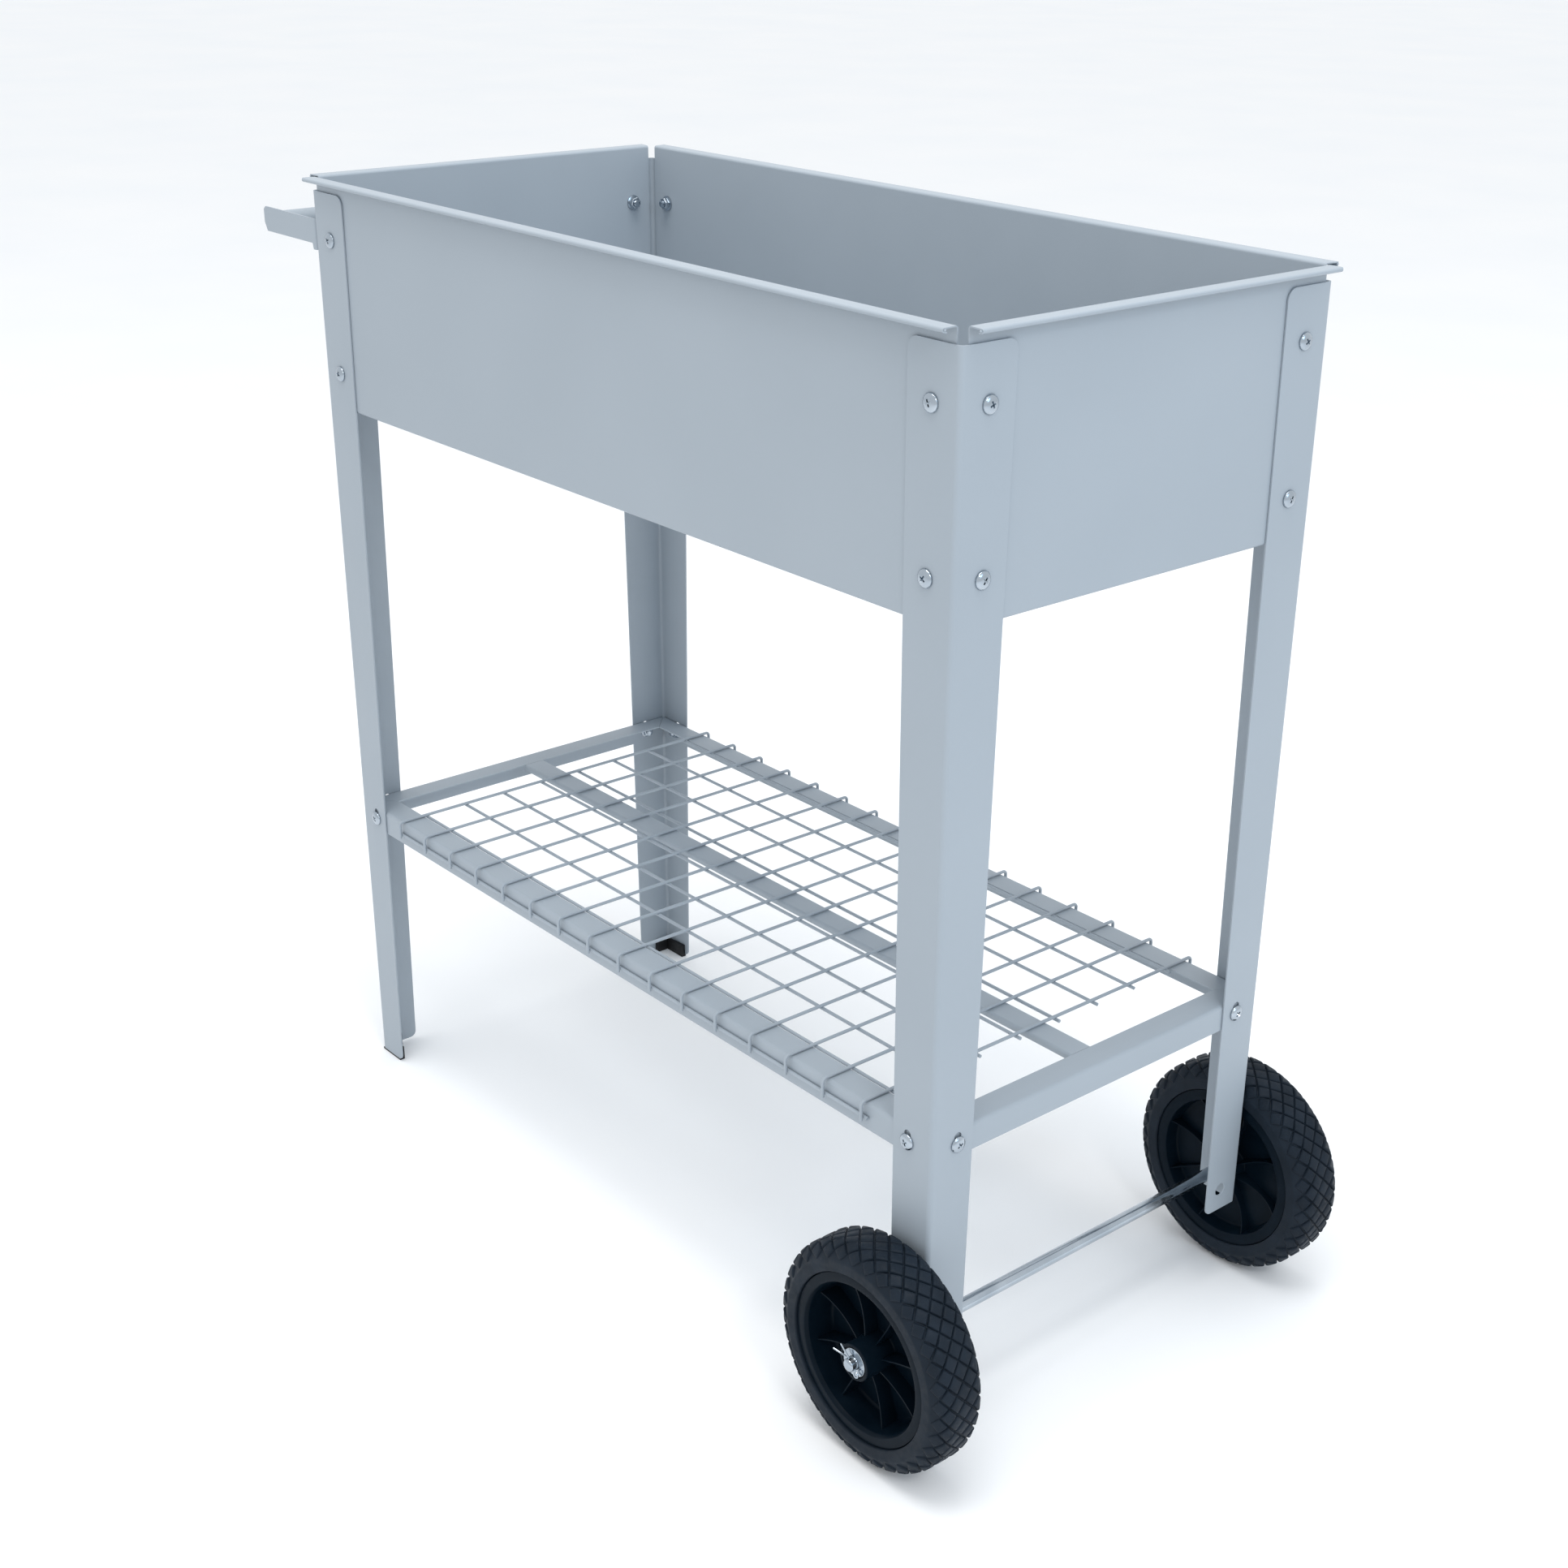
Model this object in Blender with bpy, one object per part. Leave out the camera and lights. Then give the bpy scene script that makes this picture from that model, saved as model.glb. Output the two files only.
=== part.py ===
"""Raised planter cart: a folded sheet tray on four angle legs, with a wire shelf, a push handle and two wheels.

Metres, +Z up, ground at Z = 0. +X is the wheel end, -X is the handle end and -Y is the front.
Places are measured from the middle of the tray, and one empty moves the whole cart to its origin.
"""

import math

import bmesh
import bpy
from mathutils import Matrix, Vector

MM = 0.001
GAP = 0.3 * MM

# Tray and legs
HALF_LENGTH = 381.0 * MM
HALF_WIDTH = 172.0 * MM
LEG_TOP = 800.0 * MM
RIM_TOP = 811.0 * MM
TRAY_BOTTOM = 625.0 * MM
LEG_SHEET = 1.2 * MM
LEG_BEND = 4.0 * MM
LEG_WIDTH_TOP = 46.5 * MM
LEG_WIDTH_GROUND = 35.5 * MM
LEG_CORNER_TOP = 8.0 * MM
LEG_CORNER_BOTTOM = 6.0 * MM
LEG_END_HANDLE = 2.0 * MM
LEG_END_WHEEL = 70.0 * MM
TRAY_SHEET = 0.8 * MM
TRAY_BEND = 2.2 * MM
LIP_REACH = 12.5 * MM
LIP_DROP = 3.2 * MM
TRAY_FLANGE = 15.0 * MM
WALL_END_CUT = 4.8 * MM
LIP_END_CUT = 2.2 * MM
MITRE = 0.25 * MM
DRAIN_RADIUS = 5.0 * MM
DRAIN_ROWS = 3
DRAINS_A_ROW = 6
DRAIN_PITCH_X = 120.0 * MM
DRAIN_PITCH_Y = 100.0 * MM

# Shelf
SHELF_TOP = 261.0 * MM
RAIL_HEIGHT = 21.0 * MM
RAIL_FLANGE = 22.0 * MM
RAIL_SHEET = 1.2 * MM
RAIL_BEND = 3.0 * MM
RAIL_END_CUT = 2.5 * MM
BAR_WIDTH = 22.0 * MM
BAR_FOLD = 5.0 * MM
BAR_TAB = 12.5 * MM
WIRE = 2.7 * MM
WIRE_CROSS = 2.5 * MM
WIRE_PITCH = 41.5 * MM
CROSS_WIRES = 16
LONG_WIRES = 8
WIRE_NUB = 4.3 * MM
END_WIRE_DROP = 11.0 * MM

# Fasteners
SCREW_INSET = 24.5 * MM
SCREW_HEIGHTS = {"upper": 763.0 * MM, "lower": 655.0 * MM, "shelf": 251.0 * MM}
SCREW_SIDES = 8
SCREW_RADIUS = 3.0 * MM
SCREW_HOLE = 3.4 * MM
SLOT_RISE = 6.0 * MM
HEAD_RADIUS = 6.3 * MM
HEAD_CROWN_RADIUS = 4.2 * MM
HEAD_HEIGHT = 2.8 * MM
NUT_FLANGE_RADIUS = 6.5 * MM
NUT_RADIUS = 5.2 * MM
NUT_HEIGHT = 5.2 * MM
TIP_RADIUS = 2.6 * MM
TIP_LENGTH = 2.4 * MM

# Push handle
HANDLE_END = 469.0 * MM
HANDLE_TOP = 777.0 * MM
HANDLE_BOTTOM = 757.0 * MM
TAB_BOTTOM = 752.0 * MM
TAB_INNER_Y = 133.0 * MM
HANDLE_SHEET = 1.5 * MM
HANDLE_BEND = 3.0 * MM
ARM_FACE_Y = 171.2 * MM
ARM_TOP_CHAMFER = (3.0 * MM, 2.5 * MM)
ARM_BOTTOM_CHAMFER = (4.0 * MM, 7.0 * MM)
GRIP_X = 449.0 * MM
GRIP_Z = 766.0 * MM
GRIP_RADIUS = 9.0 * MM
GRIP_WALL = 1.5 * MM
GRIP_SIDES = 16

# Wheels and axle
WHEEL_X = 360.0 * MM
WHEEL_RADIUS = 88.9 * MM
TYRE_SIDES = 40
RIM_SIDES = 24
AXLE_RADIUS = 5.0 * MM
AXLE_HALF_LENGTH = 227.5 * MM
AXLE_SIDES = 16
AXLE_HOLE = 5.45 * MM
WASHER_RADIUS = 11.0 * MM
WASHER_THICKNESS = 1.2 * MM
WASHER_SIDES = 12
INNER_WASHER_Y = 172.3 * MM
OUTER_WASHER_Y = 219.3 * MM
PIN_Y = 223.0 * MM
PIN_RADIUS = 1.0 * MM
PIN_HOLE = 1.45 * MM
PIN_SIDES = 6
PIN_TILT = math.radians(-40.0)
PIN_HEAD_RADIUS = 2.2 * MM
PIN_HEAD = (-9.0 * MM, -6.8 * MM)
PIN_TIP = 13.0 * MM

# Foot caps
CAP_SOLE = 1.7 * MM
CAP_HEIGHT = 13.0 * MM
CAP_THICKNESS = 4.0 * MM
CAP_SHORT_OF_EDGE = 5.0 * MM  # along the flange that faces the side
CAP_END_REACH = 18.0 * MM  # along the flange that faces the end

BEND_STEPS = 3
SMOOTH_ANGLE = math.radians(35.0)

# Profiles of the turned wheel parts: radius and distance from the cart's middle, in millimetres.
TYRE_PROFILE = (
    (67.3, 175.3),
    (70.0, 174.3),
    (80.0, 174.3),
    (86.2, 177.5),
    (88.9, 183.5),
    (88.9, 209.5),
    (86.2, 215.5),
    (80.0, 218.7),
    (70.0, 218.7),
    (67.3, 217.7),
)
RIM_PROFILE = (
    (5.45, 173.8),
    (13.0, 173.8),
    (14.5, 190.0),
    (56.5, 188.0),
    (58.5, 176.0),
    (66.9, 176.0),
    (66.9, 216.5),
    (58.0, 216.5),
    (56.0, 192.0),
    (14.5, 194.0),
    (14.5, 220.6),
    (11.9, 220.6),
    (11.9, 219.0),
    (5.45, 219.0),
)

# Colour, roughness and metallic value of each finish
FINISHES = {
    "powder_coat": ((0.40, 0.45, 0.50, 1.0), 0.42, 0.0),
    "zinc": ((0.62, 0.64, 0.66, 1.0), 0.30, 1.0),
    "tyre_rubber": ((0.030, 0.036, 0.042, 1.0), 0.70, 0.0),
    "rim_plastic": ((0.010, 0.011, 0.013, 1.0), 0.25, 0.0),
    "cap_plastic": ((0.012, 0.012, 0.013, 1.0), 0.50, 0.0),
}

LEG_INNER_STEP = LEG_SHEET + GAP
WALL_X = HALF_LENGTH - LEG_INNER_STEP
WALL_Y = HALF_WIDTH - LEG_INNER_STEP
CART_SHIFT_X = (HANDLE_END - WHEEL_X - WHEEL_RADIUS) / 2
CORNERS = {
    "front_wheel": (1, -1),
    "back_wheel": (1, 1),
    "front_handle": (-1, -1),
    "back_handle": (-1, 1),
}
SIDES = {"front": -1, "back": 1}
ENDS = {"wheel_end": 1, "handle_end": -1}


def clear_scene():
    for item in list(bpy.data.objects):
        bpy.data.objects.remove(item, do_unlink=True)


def add_cart_origin():
    """The empty that every piece hangs from."""
    cart = bpy.data.objects.new("cart_origin", None)
    cart.location = (CART_SHIFT_X, 0.0, 0.0)
    bpy.context.scene.collection.objects.link(cart)
    return cart


def new_material(name, finish):
    colour, roughness, metallic = FINISHES[finish]
    material = bpy.data.materials.new(name + "_finish")
    material.use_nodes = True
    shader = material.node_tree.nodes["Principled BSDF"]
    shader.inputs["Base Color"].default_value = colour
    shader.inputs["Roughness"].default_value = roughness
    shader.inputs["Metallic"].default_value = metallic
    return material


def add_object(cart, name, solid, placement=None):
    """Turns a bmesh into an object under the cart's empty."""
    mesh = bpy.data.meshes.new(name)
    solid.to_mesh(mesh)
    solid.free()
    item = bpy.data.objects.new(name, mesh)
    bpy.context.scene.collection.objects.link(item)
    item.parent = cart
    if placement is not None:
        item.matrix_local = placement
    return item


def add_part(cart, name, finish, solid, placement=None, smooth=False):
    part = add_object(cart, name, solid, placement)
    part.data.materials.append(new_material(name, finish))
    if smooth:
        part.data.shade_smooth()
        part.data.set_sharp_from_angle(angle=SMOOTH_ANGLE)
    return part


def add_cutter(cart, name, solid):
    cutter = add_object(cart, name, solid)
    cutter.hide_render = True
    cutter.display_type = "WIRE"
    return cutter


def apply_boolean(part, other, operation):
    modifier = part.modifiers.new(operation.title() + "_" + other.name, "BOOLEAN")
    modifier.operation = operation
    modifier.solver = "EXACT"
    modifier.object = other


def loft(loops, ring=False, into=None):
    """Joins equal loops of points in turn. A ring also joins the last to the first; otherwise both ends close."""
    solid = into or bmesh.new()
    rows = [[solid.verts.new(point) for point in loop] for loop in loops]
    joins = list(zip(rows, rows[1:]))
    made = []
    if ring:
        joins.append((rows[-1], rows[0]))
    else:
        made.append(solid.faces.new(rows[0][::-1]))
        made.append(solid.faces.new(rows[-1]))
    for lower, upper in joins:
        for index in range(len(lower)):
            after = (index + 1) % len(lower)
            made.append(solid.faces.new((lower[index], lower[after], upper[after], upper[index])))
    bmesh.ops.recalc_face_normals(solid, faces=made)
    return solid


def circle(radius, along, sides, half_turn_step=False):
    start = 0.5 if half_turn_step else 0.0
    angles = [math.tau * (index + start) / sides for index in range(sides)]
    return [Vector((radius * math.cos(angle), radius * math.sin(angle), along)) for angle in angles]


def turned(profile, sides, ring=False):
    """A piece turned about Z from (radius, along) points."""
    return loft([circle(radius, along, sides) for radius, along in profile], ring)


def bend(points, thickness, radius):
    """Face and back points of a sheet that follows points. A positive thickness lies to the left of them."""
    face = [Vector(points[0])]
    normals = []
    for before, corner, after in zip(points, points[1:], points[2:]):
        heading = (Vector(corner) - Vector(before)).normalized()
        heading_after = (Vector(after) - Vector(corner)).normalized()
        normal = Vector((-heading.y, heading.x))
        turn = math.atan2(heading.cross(heading_after), heading.dot(heading_after))
        side = math.copysign(1.0, turn)
        line_radius = radius if side * thickness > 0 else radius - abs(thickness)
        centre = Vector(corner) - heading * line_radius * math.tan(abs(turn) / 2) + normal * side * line_radius
        if not normals:
            normals.append(normal)
        for step in range(BEND_STEPS + 1):
            turned_normal = normal.copy()
            turned_normal.rotate(Matrix.Rotation(turn * step / BEND_STEPS, 2))
            face.append(centre - turned_normal * side * line_radius)
            normals.append(turned_normal)
    face.append(Vector(points[-1]))
    normals.append(normals[-1])
    return [(point, point + normal * thickness) for point, normal in zip(face, normals)]


def folded_sheet(pairs, spans, place):
    """A closed folded sheet: each (face, back) pair runs over its own span along the fold."""
    loops = []
    for (face, back), (start, end) in zip(pairs, spans):
        loops.append([place(face, start), place(face, end), place(back, end), place(back, start)])
    return loft(loops)


def rod(start, end, radius, sides, into=None):
    """A closed round rod between two points."""
    axis = Vector(end) - Vector(start)
    turn = axis.to_track_quat("Z", "Y")
    loops = []
    for along in (0.0, axis.length):
        loops.append([Vector(start) + turn @ point for point in circle(radius, along, sides, True)])
    return loft(loops, into=into)


def leg_width(height):
    return LEG_WIDTH_GROUND + (LEG_WIDTH_TOP - LEG_WIDTH_GROUND) * height / LEG_TOP


def leg_columns(bottom):
    """(distance at the bottom, bottom, distance at the top, top) of the cuts down one flange, from its free edge."""
    columns = []
    for step in range(BEND_STEPS + 1):
        angle = math.pi / 2 * step / BEND_STEPS
        out = 1.0 - math.cos(angle)
        down = 1.0 - math.sin(angle)
        columns.append(
            (
                leg_width(bottom) - LEG_CORNER_BOTTOM * out,
                bottom + LEG_CORNER_BOTTOM * down,
                LEG_WIDTH_TOP - LEG_CORNER_TOP * out,
                LEG_TOP - LEG_CORNER_TOP * down,
            )
        )
    return columns


def leg_solid(corner, bottom):
    sign_x, sign_y = corner

    def place(in_x, in_y, height):
        return Vector((sign_x * (HALF_LENGTH - in_x), sign_y * (HALF_WIDTH - in_y), height))

    loops = []
    for near_bottom, low, near_top, high in leg_columns(bottom):
        face = [place(near_bottom, 0.0, low), place(near_top, 0.0, high)]
        back = [place(near_top, LEG_SHEET, high), place(near_bottom, LEG_SHEET, low)]
        loops.append(face + back)
    for step in range(BEND_STEPS + 1):
        angle = math.pi * 1.5 - math.pi / 2 * step / BEND_STEPS
        outer = (LEG_BEND + LEG_BEND * math.cos(angle), LEG_BEND + LEG_BEND * math.sin(angle))
        inner_radius = LEG_BEND - LEG_SHEET
        inner = (LEG_BEND + inner_radius * math.cos(angle), LEG_BEND + inner_radius * math.sin(angle))
        face = [place(*outer, bottom), place(*outer, LEG_TOP)]
        back = [place(*inner, LEG_TOP), place(*inner, bottom)]
        loops.append(face + back)
    for near_bottom, low, near_top, high in reversed(leg_columns(bottom)):
        face = [place(0.0, near_bottom, low), place(0.0, near_top, high)]
        back = [place(LEG_SHEET, near_top, high), place(LEG_SHEET, near_bottom, low)]
        loops.append(face + back)
    return loft(loops)


def screw_places():
    """(name, outward axis, height name, point on the leg's outer face) of every screw."""
    places = []
    for corner_name, (sign_x, sign_y) in CORNERS.items():
        for height_name, height in SCREW_HEIGHTS.items():
            side_point = Vector((sign_x * (HALF_LENGTH - SCREW_INSET), sign_y * HALF_WIDTH, height))
            end_point = Vector((sign_x * HALF_LENGTH, sign_y * (HALF_WIDTH - SCREW_INSET), height))
            side_name = "screw_" + corner_name + "_side_" + height_name
            end_name = "screw_" + corner_name + "_end_" + height_name
            places.append((side_name, Vector((0.0, sign_y, 0.0)), height_name, side_point))
            places.append((end_name, Vector((sign_x, 0.0, 0.0)), height_name, end_point))
    return places


def is_handle_screw(name):
    return name.endswith("handle_end_upper")


def add_screws(cart):
    """Each pan-head screw and its flange nut are one piece, on an axis through the leg."""
    for name, outward, height_name, point in screw_places():
        inner_sheet = RAIL_SHEET if height_name == "shelf" else TRAY_SHEET
        nut_face = -(LEG_SHEET + inner_sheet + 2 * GAP)
        head_face = GAP
        if is_handle_screw(name):
            head_face += HANDLE_SHEET + GAP
        profile = (
            (TIP_RADIUS, nut_face - NUT_HEIGHT - TIP_LENGTH),
            (NUT_RADIUS, nut_face - NUT_HEIGHT),
            (NUT_FLANGE_RADIUS, nut_face),
            (SCREW_RADIUS, nut_face),
            (SCREW_RADIUS, head_face),
            (HEAD_RADIUS, head_face),
            (HEAD_CROWN_RADIUS, head_face + HEAD_HEIGHT),
        )
        placement = Matrix.Translation(point) @ outward.to_track_quat("Z", "Y").to_matrix().to_4x4()
        add_part(cart, name, "zinc", turned(profile, SCREW_SIDES), placement, smooth=True)


def add_screw_cutter(cart, name, slotted):
    """Clearance holes for every screw. The legs' shelf holes are slots that rise past the screw."""
    solid = bmesh.new()
    reach = 12.0 * MM
    for _, outward, height_name, point in screw_places():
        turn = outward.to_track_quat("Z", "Y")
        loops = []
        for along in (-reach, reach):
            loop = []
            for spot in circle(SCREW_HOLE, along, SCREW_SIDES):
                hole_point = point + turn @ spot
                if slotted and height_name == "shelf" and hole_point.z > point.z:
                    hole_point.z += SLOT_RISE
                loop.append(hole_point)
            loops.append(loop)
        loft(loops, into=solid)
    return add_cutter(cart, name, solid)


def add_axle_cutter(cart):
    """The axle's holes through both flanges of the wheel-end legs."""
    solid = bmesh.new()
    reach = HALF_WIDTH + 10.0 * MM
    inset = HALF_LENGTH - WHEEL_X
    rod((WHEEL_X, -reach, WHEEL_RADIUS), (WHEEL_X, reach, WHEEL_RADIUS), AXLE_HOLE, AXLE_SIDES, solid)
    for sign_y in SIDES.values():
        spare_y = sign_y * (HALF_WIDTH - inset)
        start = (HALF_LENGTH - LEG_BEND, spare_y, WHEEL_RADIUS)
        end = (HALF_LENGTH + LEG_BEND, spare_y, WHEEL_RADIUS)
        rod(start, end, AXLE_HOLE, AXLE_SIDES, solid)
    return add_cutter(cart, "axle_holes", solid)


def add_legs(cart, leg_holes, axle_holes):
    for name, corner in CORNERS.items():
        wheel_leg = corner[0] > 0
        bottom = LEG_END_WHEEL if wheel_leg else LEG_END_HANDLE
        leg = add_part(cart, "leg_" + name, "powder_coat", leg_solid(corner, bottom), smooth=True)
        apply_boolean(leg, leg_holes, "DIFFERENCE")
        if wheel_leg:
            apply_boolean(leg, axle_holes, "DIFFERENCE")


def place_side(sign_y):
    """Places (outward, height) points of a long side's section at a distance along X."""
    return lambda point, along: Vector((along, sign_y * (WALL_Y + point.x), point.y))


def place_end(sign_x):
    return lambda point, along: Vector((sign_x * (WALL_X + point.x), along, point.y))


def wall_pairs():
    """The tray wall's section: bottom flange inward, wall, lip outward and its turned-down edge."""
    lip_under = RIM_TOP - TRAY_SHEET
    path = (
        (-TRAY_FLANGE, TRAY_BOTTOM),
        (0.0, TRAY_BOTTOM),
        (0.0, lip_under),
        (LIP_REACH - TRAY_SHEET, lip_under),
        (LIP_REACH - TRAY_SHEET, RIM_TOP - LIP_DROP),
    )
    return bend(path, TRAY_SHEET, TRAY_BEND)


def wall_spans(pairs, half_length):
    """The wall stops short of the corner, its flange is mitred and its lip runs on to the corner."""
    spans = []
    for face, _ in pairs:
        outward = face.x
        if outward < 0.0:
            cut = max(WALL_END_CUT, -outward + 2 * MITRE)
        else:
            share = outward / LIP_REACH
            cut = WALL_END_CUT + (LIP_END_CUT - WALL_END_CUT) * share
        spans.append((-(half_length - cut), half_length - cut))
    return spans


def add_tray_walls(cart, sheet_holes):
    pairs = wall_pairs()
    for name, sign_y in SIDES.items():
        solid = folded_sheet(pairs, wall_spans(pairs, WALL_X), place_side(sign_y))
        wall = add_part(cart, "tray_wall_" + name, "powder_coat", solid, smooth=True)
        apply_boolean(wall, sheet_holes, "DIFFERENCE")
    for name, sign_x in ENDS.items():
        solid = folded_sheet(pairs, wall_spans(pairs, WALL_Y), place_end(sign_x))
        wall = add_part(cart, "tray_wall_" + name, "powder_coat", solid, smooth=True)
        apply_boolean(wall, sheet_holes, "DIFFERENCE")


def add_tray_floor(cart):
    half_x = WALL_X - TRAY_BEND - GAP
    half_y = WALL_Y - TRAY_BEND - GAP
    low = TRAY_BOTTOM + TRAY_SHEET + GAP
    high = low + TRAY_SHEET
    corner_cut = TRAY_BEND
    outline = (
        (half_x, half_y - corner_cut),
        (half_x - corner_cut, half_y),
        (-half_x + corner_cut, half_y),
        (-half_x, half_y - corner_cut),
        (-half_x, -half_y + corner_cut),
        (-half_x + corner_cut, -half_y),
        (half_x - corner_cut, -half_y),
        (half_x, -half_y + corner_cut),
    )
    solid = loft([[Vector((x, y, z)) for x, y in outline] for z in (low, high)])
    floor = add_part(cart, "tray_floor", "powder_coat", solid)
    drains = bmesh.new()
    reach = 5.0 * MM
    for column in range(DRAINS_A_ROW):
        x = (column - (DRAINS_A_ROW - 1) / 2) * DRAIN_PITCH_X
        for row in range(DRAIN_ROWS):
            y = (row - (DRAIN_ROWS - 1) / 2) * DRAIN_PITCH_Y
            rod((x, y, low - reach), (x, y, high + reach), DRAIN_RADIUS, SCREW_SIDES, drains)
    apply_boolean(floor, add_cutter(cart, "drain_holes", drains), "DIFFERENCE")


def rail_pairs():
    """A shelf rail's section: a web against the legs and a flange inward at the top."""
    path = ((0.0, SHELF_TOP - RAIL_HEIGHT), (0.0, SHELF_TOP), (-RAIL_FLANGE, SHELF_TOP))
    return bend(path, RAIL_SHEET, RAIL_BEND)


def rail_spans(pairs, half_length):
    spans = []
    for face, _ in pairs:
        cut = max(RAIL_END_CUT, -face.x + MITRE)
        spans.append((-(half_length - cut), half_length - cut))
    return spans


def add_shelf_rails(cart, sheet_holes):
    pairs = rail_pairs()
    for name, sign_y in SIDES.items():
        solid = folded_sheet(pairs, rail_spans(pairs, WALL_X), place_side(sign_y))
        rail = add_part(cart, "shelf_rail_" + name, "powder_coat", solid, smooth=True)
        apply_boolean(rail, sheet_holes, "DIFFERENCE")
    for name, sign_x in ENDS.items():
        solid = folded_sheet(pairs, rail_spans(pairs, WALL_Y), place_end(sign_x))
        rail = add_part(cart, "shelf_rail_" + name, "powder_coat", solid, smooth=True)
        apply_boolean(rail, sheet_holes, "DIFFERENCE")


def bar_end_x():
    return WALL_X - RAIL_FLANGE - GAP


def tab_loops(sign_x):
    """The tab under an end rail's flange: it steps down where it leaves the bar."""
    half = BAR_WIDTH / 2 - RAIL_SHEET / 2
    under_flange = SHELF_TOP - RAIL_SHEET - GAP
    in_bar = SHELF_TOP - RAIL_SHEET / 2
    step = 1.0 * MM
    places = (
        (bar_end_x() - BAR_TAB, in_bar),
        (bar_end_x() - 2 * step, in_bar),
        (bar_end_x() - step, under_flange),
        (bar_end_x() + BAR_TAB, under_flange),
    )
    loops = []
    for x, top in places:
        low = top - 2 * RAIL_SHEET
        corners = ((-half, low), (half, low), (half, top), (-half, top))
        loops.append([Vector((sign_x * x, y, z)) for y, z in corners])
    return loops


def add_middle_bar(cart):
    """The channel between the two end rails, with a tab at each end."""
    half = BAR_WIDTH / 2
    low = SHELF_TOP - BAR_FOLD
    pairs = bend(((half, low), (half, SHELF_TOP), (-half, SHELF_TOP), (-half, low)), RAIL_SHEET, 2 * RAIL_SHEET)
    spans = [(-bar_end_x(), bar_end_x())] * len(pairs)
    solid = folded_sheet(pairs, spans, lambda point, along: Vector((along, point.x, point.y)))
    bar = add_part(cart, "shelf_middle_bar", "powder_coat", solid, smooth=True)
    for name, sign_x in ENDS.items():
        tab = add_cutter(cart, "bar_tab_" + name, loft(tab_loops(sign_x)))
        apply_boolean(bar, tab, "UNION")


def wire_section(centre, across, up):
    """The square section of a wire about a centre."""
    half = WIRE / 2
    return [centre + across * half * a + up * half * b for a, b in ((-1, -1), (1, -1), (1, 1), (-1, 1))]


def add_shelf_grid(cart):
    """Cross wires bent down over the rails, welded to the long wires under them."""
    cross_z = SHELF_TOP + GAP + WIRE / 2
    long_z = cross_z - WIRE_CROSS
    edge_y = WALL_Y + GAP + WIRE / 2
    leg_y = edge_y + WIRE_CROSS
    edge_z = SHELF_TOP - END_WIRE_DROP
    leg_end_z = edge_z - WIRE_CROSS
    x_axis = Vector((1.0, 0.0, 0.0))
    y_axis = Vector((0.0, 1.0, 0.0))
    z_axis = Vector((0.0, 0.0, 1.0))
    cross = bmesh.new()
    for index in range(CROSS_WIRES):
        x = (index - (CROSS_WIRES - 1) / 2) * WIRE_PITCH
        left_mitre = z_axis - y_axis
        right_mitre = z_axis + y_axis
        loops = [
            wire_section(Vector((x, -leg_y, leg_end_z)), x_axis, -y_axis),
            wire_section(Vector((x, -leg_y, cross_z)), x_axis, left_mitre),
            wire_section(Vector((x, leg_y, cross_z)), x_axis, right_mitre),
            wire_section(Vector((x, leg_y, leg_end_z)), x_axis, y_axis),
        ]
        loft(loops, into=cross)
    half_run = (CROSS_WIRES - 1) / 2 * WIRE_PITCH + WIRE_NUB
    lines = [((index - (LONG_WIRES - 1) / 2) * WIRE_PITCH, long_z) for index in range(LONG_WIRES)]
    lines += [(-edge_y, edge_z), (edge_y, edge_z)]
    along = bmesh.new()
    for y, z in lines:
        loft([wire_section(Vector((x, y, z)), y_axis, z_axis) for x in (-half_run, half_run)], into=along)
    grid = add_part(cart, "shelf_grid", "powder_coat", cross)
    apply_boolean(grid, add_cutter(cart, "long_wires", along), "UNION")


def arm_span(x):
    """Lowest and highest point of a handle arm at a distance out from the tray's middle."""
    if x < HALF_LENGTH + 2.2 * HANDLE_BEND:
        return TAB_BOTTOM, HANDLE_TOP
    low_run, low_rise = ARM_BOTTOM_CHAMFER
    top_run, top_fall = ARM_TOP_CHAMFER
    low = HANDLE_BOTTOM + low_rise * max(0.0, x - (HANDLE_END - low_run)) / low_run
    high = HANDLE_TOP - top_fall * max(0.0, x - (HANDLE_END - top_run)) / top_run
    return low, high


def place_arm(sign_y):
    return lambda point, height: Vector((point.x, -sign_y * point.y, height))


def add_handle(cart, sheet_holes):
    """Two arms with tabs screwed to the handle-end legs, and a tube between them."""
    tab_x = HALF_LENGTH + GAP
    cuts = (HALF_LENGTH + 2.0 * HANDLE_BEND, HALF_LENGTH + 2.4 * HANDLE_BEND)
    chamfers = (HANDLE_END - ARM_BOTTOM_CHAMFER[0], HANDLE_END - ARM_TOP_CHAMFER[0])
    for name, sign_y in SIDES.items():
        path = ((-tab_x, -TAB_INNER_Y), (-tab_x, -ARM_FACE_Y), (-HANDLE_END, -ARM_FACE_Y))
        pairs = bend(path, -HANDLE_SHEET, HANDLE_BEND)
        end_face, end_back = pairs.pop()
        for x in cuts + chamfers:
            pairs.append((Vector((-x, end_face.y)), Vector((-x, end_back.y))))
        pairs.append((end_face, end_back))
        spans = [arm_span(-face.x) for face, _ in pairs]
        solid = folded_sheet(pairs, spans, place_arm(sign_y))
        arm = add_part(cart, "handle_arm_" + name, "powder_coat", solid, smooth=True)
        apply_boolean(arm, sheet_holes, "DIFFERENCE")
    half = ARM_FACE_Y - HANDLE_SHEET - GAP
    inner = GRIP_RADIUS - GRIP_WALL
    profile = ((GRIP_RADIUS, -half), (GRIP_RADIUS, half), (inner, half), (inner, -half))
    placement = Matrix.Translation((-GRIP_X, 0.0, GRIP_Z)) @ Matrix.Rotation(-math.pi / 2, 4, "X")
    add_part(cart, "handle_grip", "powder_coat", turned(profile, GRIP_SIDES, ring=True), placement, smooth=True)


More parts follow.
